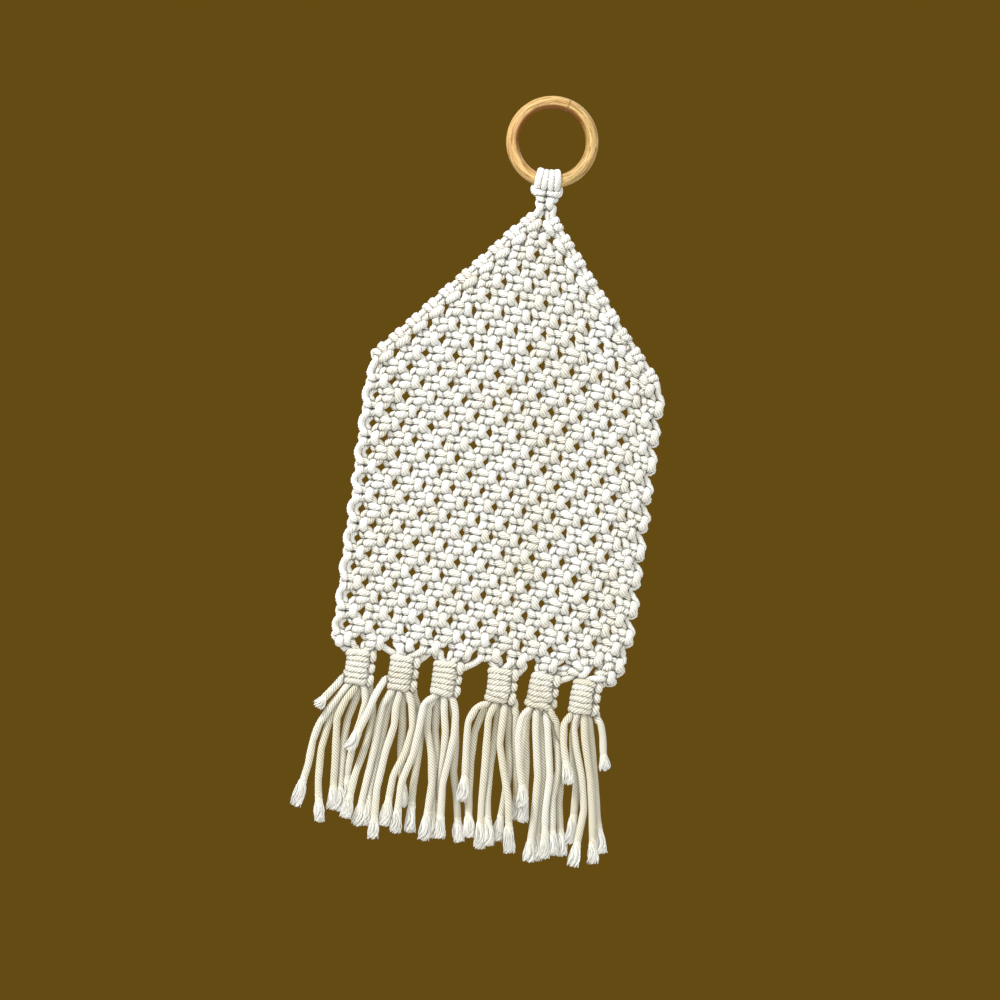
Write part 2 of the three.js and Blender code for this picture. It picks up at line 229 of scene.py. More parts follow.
# ---- tassels ----
# hanging cords, each point (x, depth, z) in millimetres, from root to tip; an empty one ends in the gather
tasselCords = [[
    [[-103, 2, -447], [-106, -3, -452], [-111, -6, -459], [-116.8, -6, -467], [-121, -5, -474]],
    [[-101, -3, -456], [-110, -3, -471], [-118, -2, -487], [-121, -1, -500],
     [-122, -1, -518], [-128, 0, -551]],
    [[-98, 2, -456], [-104, 2, -469], [-111, 1, -485], [-114, 0, -505], [-113, -1, -530], [-108, -2, -561]],
    [[-94, -4, -456], [-100, -4, -465], [-105, -4, -480], [-102, -2, -515], [-100, 0, -550]],
    [[-91, 3, -456], [-93, 3, -465], [-97, 2, -480], [-98, 1, -500], [-96, 1, -525], [-95, 2, -551]],
    [[-87, -4, -456], [-85, -4, -466], [-87, -3, -480], [-90, -2, -495], [-92, 1, -520], [-89, 3, -543]],
    [[-84, 3, -455], [-80, 4, -465], [-78, 4, -480], [-81, 2, -500], [-86, -2, -522], [-89, -5, -555]],
], [
    [[-70.5, 3, -444], [-74.5, -3, -450], [-78.3, -8, -459], [-82, -10.5, -472], [-86.2, -10.5, -485],
     [-93, -9, -503]],
    [[-67, -3, -456], [-72, -3, -466], [-73, -3, -480], [-74, -2, -500], [-77, -1, -530], [-80, 0, -560]],
    [[-64, 3, -456], [-68, 3, -472], [-70, 2, -500], [-73, 1, -530], [-73, 1, -559]],
    [[-60, -4, -456], [-62, -4, -466], [-61, -4, -480], [-65, -4, -500], [-68, -3, -530], [-66, -3, -568]],
    [[-57, 3, -456], [-57, 3, -466], [-55, 3, -480], [-54, 3, -500], [-50, 3, -520], [-46, 3, -542]],
    [[-53, -4, -456], [-50, -4, -463], [-47, -4, -480], [-50, -4, -500], [-57, -5, -518], [-59, -4, -557]],
    [[-50, 3, -455], [-45, 4, -465], [-41, 4, -480], [-40, 3, -500], [-41, 2, -525], [-39, 1, -560]],
], [
    [[-34, -5, -455], [-41, -9, -460], [-42, -9.5, -480], [-44, -9.5, -500], [-50, -8, -522], [-50, -5, -561]],
    [[-34, -3, -456], [-37, -3, -463], [-36, -3, -480], [-30, -4, -500], [-27, -4, -520], [-28, -3, -564]],
    [[-30, 3, -456], [-31, 3, -465], [-30, 3, -480], [-26, 2, -500], [-24, 1, -525], [-23, 1, -562]],
    [[-26, -4, -456], [-25, -4, -465], [-22, -4, -480], [-21, -3, -500], [-21, 1, -525], [-18, 3, -555]],
    [],
    [[-19, -5, -456], [-16, -5, -465], [-15, -5, -482], [-17, -5, -500], [-19, -4, -520], [-16, -3, -561]],
    [[-21, 3, -456], [-16, 3, -470], [-13, 3, -490], [-12, 3, -510], [-7, 4, -530], [-1, 6, -563]],
], [
    [[7, -3, -455], [-1, -5, -458], [-6, -5, -470], [-5, -4, -487], [-3, -4, -510], [-3, -4, -531]],
    [[9, 3, -456], [4, 3, -463], [0, 2, -478], [0, 1, -500], [2, 0, -528], [6, -1, -558]],
    [[12, -4, -456], [9, -4, -465], [11, -4, -500], [12, -3, -525], [15, -3, -565]],
    [[16, 3, -456], [16, 3, -466], [16, 2, -482], [15, 1, -500], [16, -2, -528], [22, -4, -562]],
    [[20, -4, -456], [20, -4, -466], [20, -4, -484], [26, -5, -505], [32, -5, -524], [38, -4, -565]],
    [[24, 3, -456], [25, 3, -466], [27, 3, -482], [30, 2, -500], [29, 2, -525], [27, 2, -558]],
    [[27, -3, -455], [30, 0, -461], [31, 2, -475], [32, 3, -490], [37, 3, -513], [40, 3, -540]],
], [
    [[39, -4, -455], [34, -8, -460], [33, -9.5, -475], [37, -9.5, -498], [41, -9, -513], [43, -9, -529]],
    [[40, 3, -456], [38, 3, -463], [39, 2, -478], [42, 0, -498], [44, -3, -520], [45, -4, -541]],
    [[44, -3, -456], [46, -4, -472], [52, -4, -505], [53, -3, -535], [53, -2, -570]],
    [[48, 3, -456], [50, 2, -466], [53, 1, -482], [57, 1, -505], [58, 2, -530], [59, 2, -569]],
    [[52, -4, -456], [55, -4, -470], [61, -4, -503], [61, -4, -530], [65, -4, -566]],
    [[56, 3, -456], [59, 3, -463], [64, 2, -478], [67, 0, -498], [65, -1, -520], [71, -1, -563]],
    [[54, -4, -455], [61, -3, -462], [66, 2, -476], [69, 4, -500], [71, 4, -525], [78, 3, -563]],
], [
    [[72, -5, -455], [66, -8.5, -461], [68, -9.5, -478], [72, -9.5, -492], [76, -9, -507]],
    [[74, -3, -456], [74, -4, -465], [78, -4, -480], [85, -4, -500], [90, -3, -525], [87, -3, -569]],
    [[77, 3, -456], [74, 3, -468], [77, 3, -488], [82, 3, -508], [83, 3, -530], [83, 4, -553]],
    [[81, -4, -456], [83, -4, -470], [92, -4, -503], [97, -3, -530], [102, -2, -565]],
    [[85, 3, -456], [87, 3, -465], [91, 3, -482], [96, 3, -505], [101, 2, -530], [108, 1, -557]],
    [],
    [[89, -3, -455], [94, -2, -458], [97, 0, -468], [99, 0, -481], [102, 0, -494]],
]]
gather = {
    "x": [-0.094, -0.0604, -0.0272, 0.0151, 0.0469, 0.0791], "z": -0.440,
    "hitches": (1.72, 0, -1.72), "apart": .86,     # middles of the three, and distance of their two bars
    "core": [(-1.2, -.4), (-1.15, .42), (-.1, -.42), (0, .42), (1.1, -.42), (1.15, .42)],
    "coreHeights": (2.6, 0, -2.0),
    "halfWidth": 1.22, "halfDepth": .42,
    "firstComes": [(-2.9, 3.7, 0), (-2.5, 2.9, 0)],     # the way of the net's first strand from its left edge
}


def gatherHitches(settings):
    # the last strand of a group binds the others: over the front to the left, back behind them, down in front
    # over its own two bars at the right, behind again, and over the front back to the right, three times
    a, b, route, held = settings["halfWidth"], settings["halfDepth"], [], []
    for w in settings["hitches"]:
        top, low = w + settings["apart"] / 2, w - settings["apart"] / 2
        half = [(a + 1.3, .1, .1), (a + .65, 0, .6), (a + .2, 0, b + .6), (0, 0, b + .55),
                (-a + .1, 0, b + .5), (-a - .6, .05, .25), (-a - .6, .1, -.25), (-a + .1, .15, -b - .5),
                (a - .1, .2, -b - .5), (a + .6, .3, -.2), (a + .9, .25, .5), (a + .78, 0, b + 1.05)]
        route += [(u, top + up, v) for u, up, v in half] + [(a + .72, w, b + 1.2)]
        route += [(u, low - up, v) for u, up, v in half[::-1]]
        front = [0, 0, 1, 1, 1, 1, 0, 0, 0, 0, 1, 1]
        held += front + [1] + front[::-1]
    return route, held


def layGather(route, order):
    # the last strand of a group of seven binds the others; below, each follows its own line to its tip
    group, member = divmod(order, gatherStrands)
    centre = (gather["x"][group], gather["z"])
    pin = pinFor(("gather", group), centre)
    if member == gatherStrands - 1:
        shape, held = gatherHitches(gather)
    else:
        across, deep = gather["core"][member]
        shape, held = [(across, high, deep) for high in gather["coreHeights"]], 0
        if order == 0:
            lay(route, place(centre, gather["firstComes"]), partGather, held=1)
    lay(route, place(centre, shape), partGather + group, pin, held)
    below = tasselCords[group][member]
    if below:
        lay(route, np.array(below) * 0.001, partHang + order, held=1)


def layNet(route, column, row, slot):
    # from knot to knot down the net, then into a gather
    while True:
        centre = netPoint(column, row)
        part = partPanel + (row - 1) * panelBands // net["lastRow"]
        width = net["endWidth"] if column == net["lastColumn"] else 1
        lay(route, place(centre, squareKnot[slot], (width, 0)), part, pinFor(("knot", column, row), centre))
        step, below = nextSlot[slot]
        if (column + step, row + 1) in knots:
            column, row, slot = column + step, row + 1, below
        elif (column, row + 2) in knots:
            beside = netPoint(9 if column > 0 else -9, row + 1)
            lay(route, place(beside, besideEdge[slot]), part, held=1)
            row += 2
        else:
            return layGather(route, (column + 9) * 2 + slot - 1)     # the strand's number from the left


# ---- the twenty-one cords, each folded over the ring or over an edge ----
ringShape = {
    "centre": -0.0255, "middle": 0.03025, "tube": 0.00475, "hitches": (-0.0042, 0.0054),
    "cordOff": .47,                  # distance of a hitch's middle line from the tube, in thicknesses
    "around": 192, "section": 40,    # corners
    "flat": .012, "uneven": .006,    # shares of the tube's radius
}
crown = {"centre": (0.0014, -0.0732)}
slopes = [
    {"top": (-0.009, -0.0884), "lean": -0.878, "hitches": [(-j, j) for j in range(10)],
     "first": [(1 - j, j + 1) for j in range(10)], "slots": (1, 2),
     "shoulder": [[(-.1085, 0, -.2045), (-.1130, 0, -.2110), (-.1147, 0, -.2165), (-.1135, 0, -.2205)],
                  [(-.1055, 0, -.2085), (-.1085, 0, -.2130), (-.1105, 0, -.2170)]],
     "offsets": (.40, -.40), "end": (-9, 11), "more": 0, "moreBelow": .08},
    {"top": (0.0092, -0.0884), "lean": 0.804, "hitches": [(2 + j, j) for j in range(9)],
     "first": [(1 + j, j + 1) for j in range(9)], "slots": (4, 3),
     "shoulder": [[(.0995, .002, -.2010), (.1005, .002, -.2070)], [(.1030, 0, -.2000), (.1050, 0, -.2065)]],
     "offsets": (-.40, .40), "end": (10, 10), "more": .1, "moreBelow": .08},
]


def alongSlope(slope):
    # unit vectors down along the edge, and out of the net
    down = np.array([slope["lean"], -1]) / np.hypot(slope["lean"], 1)
    outward = np.array([down[1], -down[0]]) * np.sign(-slope["lean"])
    return down, outward


def slopePoint(slope, column, row):
    # top + lean * drop, and some more lean lower down
    z = netPoint(column, row)[1]
    drop = slope["top"][1] - z
    more = slope["more"] * max(drop - slope["moreBelow"], 0)
    return np.array([slope["top"][0] + slope["lean"] * drop + more, z])


def newRoute():
    return {"points": [], "pin": [], "part": [], "held": []}


def foldedCords():
    # a cord for each hitch of the two edges, then the two on the ring, which hold the hitches and join the
    # net
    cords = []
    for index, slope in enumerate(slopes):
        down, outward = alongSlope(slope)
        for number, (at, start) in enumerate(zip(slope["hitches"], slope["first"])):
            centre = slopePoint(slope, *at)
            pin = pinFor(("hitch", index, number), centre)
            halves = []
            for side, slot in zip((1, -1), slope["slots"]):
                route = newRoute()
                lay(route, place(centre, slopeHitch(side), down, outward), partSlope + index, pin,
                    [2, 2, 0, 0, 0, 0, 1, 1, 1, 1, 2, 2])
                layNet(route, *start, slot)
                halves.append(route)
            cords.append(halves)
    reach = (ringShape["tube"] + ringShape["cordOff"] * thick) / thick
    for index, slope in enumerate(slopes):
        down, outward = alongSlope(slope)
        halves = []
        for half, side in enumerate((-1, 1)):
            slot, route = index * 2 + half + 1, newRoute()
            under = (ringShape["hitches"][index], ringShape["centre"] - ringShape["middle"])
            lay(route, place(under, ringHitch(side, reach)), partRing + index, pinFor(("ring", index), under),
                [2, 2, 1, 0, 0, 0, 0, 0, 0, 1, 1, 1, 2, 1])
            lay(route, place(crown["centre"], crownKnot[slot]), partCrown, pinFor("crown", crown["centre"]))
            offset = slope["offsets"][half]
            for number, at in enumerate(slope["hitches"]):
                centre = slopePoint(slope, *at)
                shape = [(-1.6, offset * 1.3, 0), (-.6, offset, 0), (.6, offset, 0)]
                lay(route, place(centre, shape, down, outward), partSlope + index,
                    pinFor(("slope", index, number), centre), min(number, 1))
            lay(route, slope["shoulder"][half], partSlope + index, held=1)
            layNet(route, *slope["end"], slot)
            halves.append(route)
        cords.append(halves)
    return cords


def joined(halves):
    # the first half backwards from its tip to the fold, then the second half
    first, second = [{key: np.concatenate([np.atleast_1d(x) for x in values]) for key, values in half.items()}
                     for half in halves]
    return {key: np.concatenate([first[key][::-1], second[key][1:]]) for key in first}


def spacedOut(route, step):
    # evenly spaced points on the straight lines between the given ones, less the repeated ones; each takes the
    # tags of the nearest
    gaps = np.linalg.norm(np.diff(route["points"], axis=0), axis=1)
    keep = np.concatenate([[True], gaps > 1e-6])
    points, at = route["points"][keep], np.concatenate([[0], np.cumsum(gaps[gaps > 1e-6])])
    places = np.linspace(0, at[-1], int(round(at[-1] / step)) + 1)
    nearest = np.searchsorted((at[1:] + at[:-1]) / 2, places)
    even = np.stack([np.interp(places, at, points[:, axis]) for axis in range(3)], -1)
    return even, route["pin"][keep][nearest], route["part"][keep][nearest], route["held"][keep][nearest]


# ---- pulling the cords tight: tension shortens them, contact keeps them apart, knots stay in place ----
pull = {
    "step": 0.002, "rounds": 380, "tension": 0.5,
    "reach": 0.0058, "neighbours": 3, "renew": 8,     # pairs that may touch, looked for every few rounds
    "ringClearance": 0.0022, "pinHold": 0.3, "cinch": (0.016, 0.010, 0.006),
    "hold": 0.25, "holdDepth": .15,                    # of laid points, and its share in depth
    "unevenness": 0.00035, "unevenShare": (1, .6, 1),  # of the knots' places
}


def nearPairs(points, strand, order, reach, neighbours):
    # all pairs of points closer than reach that aren't neighbours on one cord, found by sorting into cubes
    cell = np.floor(points / reach).astype(np.int64)
    cell -= cell.min(0)
    size = cell.max(0) + 3
    key = (cell[:, 0] * size[1] + cell[:, 1]) * size[2] + cell[:, 2]
    sortOrder = np.argsort(key, kind="stable")
    sortedKey, found = key[sortOrder], []
    steps = [(x, y, z) for x in (-1, 0, 1) for y in (-1, 0, 1) for z in (-1, 0, 1) if (x, y, z) >= (0, 0, 0)]
    for x, y, z in steps:
        other = key + (x * size[1] + y) * size[2] + z
        low, high = np.searchsorted(sortedKey, other, "left"), np.searchsorted(sortedKey, other, "right")
        count = high - low
        i = np.repeat(np.arange(len(points)), count)
        within = np.arange(count.sum()) - np.repeat(np.cumsum(count) - count, count)
        j = sortOrder[np.repeat(low, count) + within]
        keep = (strand[i] != strand[j]) | (np.abs(order[i] - order[j]) > neighbours)
        if (x, y, z) == (0, 0, 0):
            keep &= i < j
        i, j = i[keep], j[keep]
        close = ((points[i] - points[j]) ** 2).sum(1) < reach ** 2
        found.append(np.stack([i[close], j[close]]))
    return np.concatenate(found, 1)


def pushApart(p, i, j, touch, squash):
    # each pair that overlaps moves apart by half the overlap each, less where a point is in many pairs;
    # the heights are measured stretched, so that flattened cords may lie closer over each other
    apart = p[i] - p[j]
    apart[:, 2] *= squash
    length = np.sqrt((apart ** 2).sum(1)) + 1e-12
    over = touch - length
    hit = over > 0
    i, j = i[hit], j[hit]
    move = apart[hit] * (over[hit] * .5 / length[hit])[:, None]
    move[:, 2] /= squash[hit]
    share = np.sqrt(np.maximum(np.bincount(i, minlength=len(p)) + np.bincount(j, minlength=len(p)), 1))
    for axis in range(3):
        p[:, axis] += (np.bincount(i, move[:, axis], len(p)) - np.bincount(j, move[:, axis], len(p))) / share


def keepOffRing(p):
    # points inside the ring's tube plus clearance move straight out of it
    dx, dz = p[:, 0], p[:, 2] - ringShape["centre"]
    radius = np.sqrt(dx ** 2 + dz ** 2) + 1e-9
    off = radius - ringShape["middle"]
    need = ringShape["tube"] + pull["ringClearance"]
    grow = np.maximum(need / (np.sqrt(off ** 2 + p[:, 1] ** 2) + 1e-9) - 1, 0)
    p[:, 0] += dx / radius * off * grow
    p[:, 2] += dz / radius * off * grow
    p[:, 1] += p[:, 1] * grow


def pullTight(p, strand, order, pin, keepPlace, part):
    # in each round a point moves towards the middle of its neighbours, touching cords part, laid points go
    # back a little, and the points of a knot move together, and closer, to the knot's place
    joinedNext = strand[1:] == strand[:-1]
    inner = np.flatnonzero(joinedNext[1:] & joinedNext[:-1]) + 1
    centres = np.array([place for number, place in pins.values()])
    loose = np.array([name[0] in ("ring", "hitch") for name in pins])
    uneven = rng.normal(0, pull["unevenness"], centres.shape) * pull["unevenShare"]
    centres += uneven * ~loose[:, None]
    held = np.flatnonzero((pin >= 0) & ~loose[pin])
    heldPin = pin[held]
    heldCount = np.maximum(np.bincount(heldPin, minlength=len(centres)), 1)
    radius, squash = kindContact[kindOf(part)] * thick, kindSquash[kindOf(part)]
    flatHold = np.minimum(keepPlace, 1)
    deepHold = np.where(keepPlace > 1, 1, pull["holdDepth"] * flatHold)
    hold = pull["hold"] * np.stack([flatHold, deepHold, flatHold], -1)
    wanted = p.copy()
    for count in range(pull["rounds"]):
        if count % pull["renew"] == 0:
            i, j = nearPairs(p, strand, order, pull["reach"], pull["neighbours"])
            touch, flat = radius[i] + radius[j], (squash[i] + squash[j]) / 2
        p[inner] += pull["tension"] * ((p[inner - 1] + p[inner + 1]) / 2 - p[inner])
        pushApart(p, i, j, touch, flat)
        pushApart(p, i, j, touch, flat)
        keepOffRing(p)
        p += hold * (wanted - p)
        for axis in range(3):
            middle = np.bincount(heldPin, p[held, axis], len(centres)) / heldCount
            p[held, axis] += pull["pinHold"] * (centres[:, axis] - middle)[heldPin]
            p[held, axis] += pull["cinch"][axis] * (centres[heldPin, axis] - p[held, axis])
    return p


def buildStrands():
    cords = [spacedOut(joined(halves), pull["step"]) for halves in foldedCords()]
    strand = np.concatenate([np.full(len(c[0]), k) for k, c in enumerate(cords)])
    order = np.concatenate([np.arange(len(c[0])) for c in cords])
    points, pin, part, held = [np.concatenate([c[k] for c in cords]) for k in range(4)]
    points = pullTight(points, strand, order, pin, held, part)
    return [(points[strand == k], part[strand == k]) for k in range(len(cords))]


strands = buildStrands()
print("cords pulled tight:", len(strands), "cords,", sum(len(s[0]) for s in strands), "points")


# ---- round sections along a line ----
def lengthAlong(line):
    # sum of the steps from the line's start to each of its points
    return np.concatenate([[0], np.cumsum(np.linalg.norm(np.diff(line, axis=0), axis=1))])


def smoothLine(points, step):
    # cubic curve through the points with slopes from their neighbours, at even steps; gives the curve, and the
    # number of the point that each step is nearest to
    gaps = np.linalg.norm(np.diff(points, axis=0), axis=1)
    at = np.concatenate([[0], np.cumsum(gaps)])
    slope = np.gradient(points, at, axis=0)
    places = np.linspace(0, at[-1], int(round(at[-1] / step)) + 1)
    k = np.clip(np.searchsorted(at, places, side="right") - 1, 0, len(gaps) - 1)
    h = gaps[k][:, None]
    t = (places[:, None] - at[k][:, None]) / h
    curve = ((2 * t ** 3 - 3 * t ** 2 + 1) * points[k] + (t ** 3 - 2 * t ** 2 + t) * h * slope[k]
             + (3 * t ** 2 - 2 * t ** 3) * points[k + 1] + (t ** 3 - t ** 2) * h * slope[k + 1])
    return curve, np.clip(np.round(k + t[:, 0]).astype(int), 0, len(points) - 1)


def unit(vectors):
    return vectors / (np.linalg.norm(vectors, axis=-1, keepdims=True) + 1e-12)


def lineFrames(points):
    # two sides square to the line that don't turn about it: any frame, turned back by the summed slip between
    # neighbours
    along = unit(np.gradient(points, axis=0))
    helper = np.where(np.abs(along[:, 1:2]) < .8, [[0., 1, 0]], [[0., 0, 1]])
    a = unit(np.cross(along, helper))
    b = np.cross(along, a)
    turn, cosine = np.cross(along[:-1], along[1:]), (along[:-1] * along[1:]).sum(1, keepdims=True)
    kept = turn * (turn * a[:-1]).sum(1, keepdims=True) / (1 + cosine)
    carried = a[:-1] * cosine + np.cross(turn, a[:-1]) + kept
    slip = np.arctan2((carried * b[1:]).sum(1), (carried * a[1:]).sum(1))
    angle = np.concatenate([[0], np.cumsum(slip)])[:, None]
    first = a * np.cos(angle) + b * np.sin(angle)
    return along, first, np.cross(along, first)


def around(angle, first, second):
    # cosine of the angle * first side + sine of the angle * second side
    return np.cos(angle)[..., None] * first + np.sin(angle)[..., None] * second


def wander(count, spacing, seed):
    # smooth random numbers round 0: random values at every few points, joined by cosine steps
    knotsOfNoise = np.random.default_rng(seed).normal(0, 1, int(count / spacing) + 3)
    at = np.arange(count) / spacing
    k, t = at.astype(int), at % 1
    t = (1 - np.cos(t * pi)) / 2
    return knotsOfNoise[k] * (1 - t) + knotsOfNoise[k + 1] * t


def cordSections(line, radius, squash, seed):
    # a circle with six ridges round each point, its corners turning with the lay, to the left; flattened
    # towards the middle of a bend and widened across it, and flattened upright
    along, first, second = lineFrames(line)
    sides = cord["sides"]
    length = lengthAlong(line)
    angle = 2 * pi * np.arange(sides)[None, :] / sides - 2 * pi * length[:, None] / cord["lay"]
    ridge = cord["ridge"] * np.where(np.arange(sides) % 2 == 0, 1, -1)
    uneven = 1 + cord["thickThin"] * wander(len(line), cord["thickThinEvery"], seed)
    size = radius[:, None] * uneven[:, None] + ridge[None, :]
    out = size[..., None] * around(angle, first[:, None], second[:, None])
    bend = np.gradient(along, length, axis=0)
    share = np.minimum(np.linalg.norm(bend, axis=1) * radius, cord["bendMost"])[:, None]
    inward = unit(bend)
    across = np.cross(along, inward)
    out -= cord["bendThin"] * (share * (out * inward[:, None]).sum(2))[..., None] * inward[:, None]
    out += cord["bendWide"] * (share * (out * across[:, None]).sum(2))[..., None] * across[:, None]
    out[..., 2] /= squash[:, None]
    return line[:, None, :] + out, length


def wallFaces(count, sides):
    # four-sided faces between neighbouring sections
    i, k = np.arange(count - 1)[:, None], np.arange(sides)[None, :]
    a, b = i * sides + k, i * sides + (k + 1) % sides
    return np.stack([a, b, b + sides, a + sides], -1).reshape(-1, 4)


def tubeFaces(count, sides):
    # walls, and both ends closed by strips
    j = np.arange(sides // 2 - 1)
    end = np.stack([j, j + 1, sides - 2 - j, sides - 1 - j], -1)
    return np.concatenate([wallFaces(count, sides), end[:, ::-1], end + (count - 1) * sides])


def cornerUv(u, v, nextU, nextV):
    # the corners of faces that reach from (u, v) to (nextU, nextV)
    corners = [(u, v), (nextU, v), (nextU, nextV), (u, nextV)]
    return np.stack([np.stack(corner, -1) for corner in corners], 2).reshape(-1, 2)


def tubeUv(length, sides):
    # u round the cord, v along it in the same scale
    v = np.repeat(length / (2 * pi * panelRadius), sides).reshape(-1, sides)
    u = np.broadcast_to(np.arange(sides) / sides, v.shape)
    walls = cornerUv(u[:-1], v[:-1], u[:-1] + 1 / sides, v[1:])
    capCorners = (sides // 2 - 1) * 4
    return np.concatenate([walls] + [np.tile([[.5, end]], (capCorners, 1)) for end in (v[0, 0], v[-1, 0])])


def meshObject(name, vertices, faces, uv, values, material):
    # an object at the origin whose mesh is made from whole arrays
    mesh = bpy.data.meshes.new(name)
    mesh.vertices.add(len(vertices))
    mesh.vertices.foreach_set("co", vertices.astype(np.float32).ravel())
    mesh.loops.add(faces.size)
    mesh.loops.foreach_set("vertex_index", faces.astype(np.int32).ravel())
    mesh.polygons.add(len(faces))
    mesh.polygons.foreach_set("loop_start", np.arange(0, faces.size, faces.shape[1], dtype=np.int32))
    mesh.polygons.foreach_set("use_smooth", np.ones(len(faces), bool))
    mesh.update(calc_edges=True)
    mesh.uv_layers.new(name="UVMap").data.foreach_set("uv", uv.astype(np.float32).ravel())
    for key, value in values.items():
        mesh.attributes.new(key, "FLOAT", "POINT").data.foreach_set("value", value.astype(np.float32).ravel())
    mesh.materials.append(material)
    return addObject(name, mesh)


# ---- materials ----
def addNode(tree, kind, values=None, **settings):
    node = tree.nodes.new(kind)
    for key, value in settings.items():
        setattr(node, key, value)
    for key, value in (values or {}).items():
        if isinstance(value, bpy.types.NodeSocket):
            tree.links.new(value, node.inputs[key])
        else:
            node.inputs[key].default_value = value
    return node


def calc(tree, operation, a, b=0.0, c=0.0):
    return addNode(tree, "ShaderNodeMath", {0: a, 1: b, 2: c}, operation=operation).outputs[0]


def calcVector(tree, operation, a, b):
    return addNode(tree, "ShaderNodeVectorMath", {0: a, 1: b}, operation=operation).outputs[0]


def joinXyz(tree, x=0.0, y=0.0, z=0.0):
    return addNode(tree, "ShaderNodeCombineXYZ", {0: x, 1: y, 2: z}).outputs[0]


def noise(tree, place, scale, detail, roughness=.5, distortion=0.0):
    values = {"Vector": place, "Scale": scale, "Detail": detail, "Roughness": roughness}
    return addNode(tree, "ShaderNodeTexNoise", values | {"Distortion": distortion}).outputs[0]


def ramp(tree, value, start, end, low=0.0, high=1.0):
    # from low to high as the value goes from start to end
    return addNode(tree, "ShaderNodeMapRange", {0: value, 1: start, 2: end, 3: low, 4: high}).outputs[0]


def clamp(tree, value):
    return addNode(tree, "ShaderNodeClamp", {0: value}).outputs[0]


def blendColour(tree, share, first, second):
    return addNode(tree, "ShaderNodeMix", {0: share, 6: first, 7: second}, data_type="RGBA").outputs[2]


def paint(tree, shape, strength, colour, over):
    # a colour over another where the shape is 1, at the given strength
    return blendColour(tree, calc(tree, "MULTIPLY", shape, strength), over, colour)


def uvParts(tree):
    uv = addNode(tree, "ShaderNodeUVMap", uv_map="UVMap").outputs[0]
    parts = addNode(tree, "ShaderNodeSeparateXYZ", {0: uv})
    return uv, parts.outputs[0], parts.outputs[1]


def newMaterial(name):
    material = bpy.data.materials.new(name)
    material.use_nodes = True
    tree = material.node_tree
    tree.nodes.clear()
    shader = addNode(tree, "ShaderNodeBsdfPrincipled")
    addNode(tree, "ShaderNodeOutputMaterial", {"Surface": shader.outputs[0]})
    return material, tree, shader


def finishSurface(tree, shader, colour, height, look):
    bumped = {"Strength": look["bumpStrength"], "Distance": look["bump"], "Height": height}
    tree.links.new(colour, shader.inputs["Base Color"])
    tree.links.new(addNode(tree, "ShaderNodeBump", bumped).outputs[0], shader.inputs["Normal"])
    shader.inputs["Roughness"].default_value = look["roughness"]
    shader.inputs["Specular IOR Level"].default_value = look["specular"]


cottonLook = {
    # painted shade: the groove colour between the ridges
    "white": (0.89, 0.885, 0.84, 1), "cream": (0.78, 0.735, 0.565, 1), "grooveShade": (0.34, 0.31, 0.24, 1),
    # painted shade: the colour and strength of the creases where cords touch
    "creaseShade": (0.11, 0.10, 0.08, 1), "creaseStrength": .9,
    "fleck": (0.55, 0.44, 0.27, 1), "fleckStrength": .6, "fleckScale": 900.0, "fleckRange": (.78, .82),
    "ridges": 6, "yarns": 18,                          # round the cord
    "fibres": (26, 5, 1), "hairs": (90, 9, 1),         # how fine, round and along the cord
    "driftScale": 38.0, "drift": .9,
    "valleyDark": .95, "valleyHairs": .6, "hairDark": .3, "hairLight": .13, "yarnDark": .04,
    "grooveLeast": .72, "grooveCream": 1.5,            # strength of the painted groove shade, and what cream cord adds
    "yarnWobble": 2.2, "ridgeHeight": .35, "fibreHeight": .35, "hairHeight": .3, "yarnHeight": .10,
    "roughness": 0.92, "specular": .15, "sheen": 0.25, "sheenRoughness": .5,
    "bump": 0.00045, "bumpStrength": .8,
}


